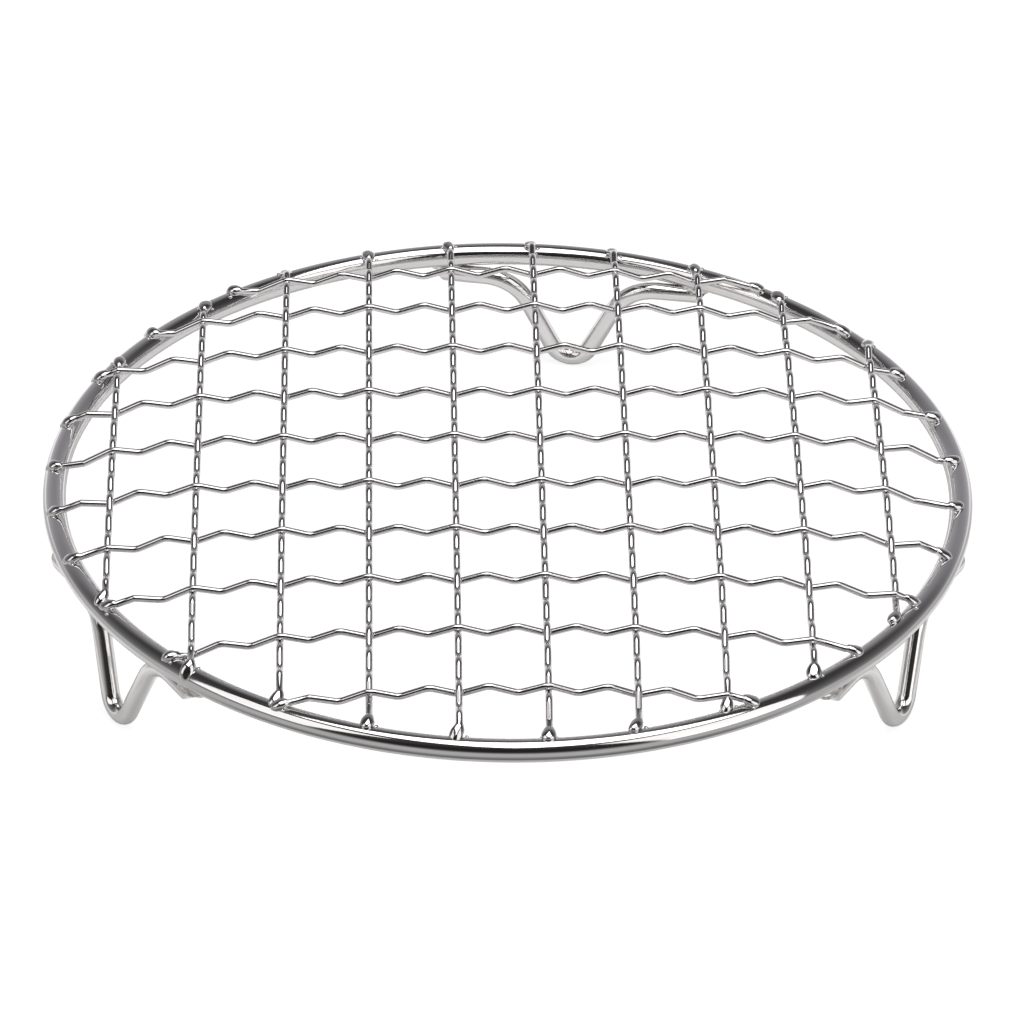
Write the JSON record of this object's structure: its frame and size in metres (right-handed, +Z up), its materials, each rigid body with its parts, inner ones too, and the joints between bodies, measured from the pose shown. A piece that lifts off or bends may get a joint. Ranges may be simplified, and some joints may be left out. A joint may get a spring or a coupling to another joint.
{
  "type": "cooling rack",
  "caption": "Round cooling rack of bent stainless wire: a thick rim ring, a domed square mesh of crimped wires welded on top, and V-shaped wire feet welded underneath.",
  "frame": {"origin": "centre of the rim's circle, on the plane that the feet stand on", "axes": "+Z up, -Y towards the front (the side with a foot at front left and at front right), +X to the right, +Y towards the single back foot"},
  "size_m": [0.2, 0.2, 0.0385],
  "materials": {
    "rim_steel": "bright drawn stainless wire, polished, with faint draw lines along the wire",
    "mesh_steel": "bright electropolished stainless wire",
    "foot_steel": "bright drawn stainless wire, sheared ends left bare",
    "weld_metal": "resistance weld nugget, cleaned and slightly dull"
  },
  "bodies": {
    "root": {"rim_ring": "rim_steel", "long_wire_01": "mesh_steel", "long_wire_02": "mesh_steel", "long_wire_03": "mesh_steel", "long_wire_04": "mesh_steel", "long_wire_05": "mesh_steel", "long_wire_06": "mesh_steel", "long_wire_07": "mesh_steel", "long_wire_08": "mesh_steel", "long_wire_09": "mesh_steel", "long_wire_10": "mesh_steel", "cross_wire_01": "mesh_steel", "cross_wire_02": "mesh_steel", "cross_wire_03": "mesh_steel", "cross_wire_04": "mesh_steel", "cross_wire_05": "mesh_steel", "cross_wire_06": "mesh_steel", "cross_wire_07": "mesh_steel", "cross_wire_08": "mesh_steel", "cross_wire_09": "mesh_steel", "cross_wire_10": "mesh_steel", "foot_back": "foot_steel", "foot_left": "foot_steel", "foot_right": "foot_steel", "foot_welds": "weld_metal"}
  },
  "joints": []
}
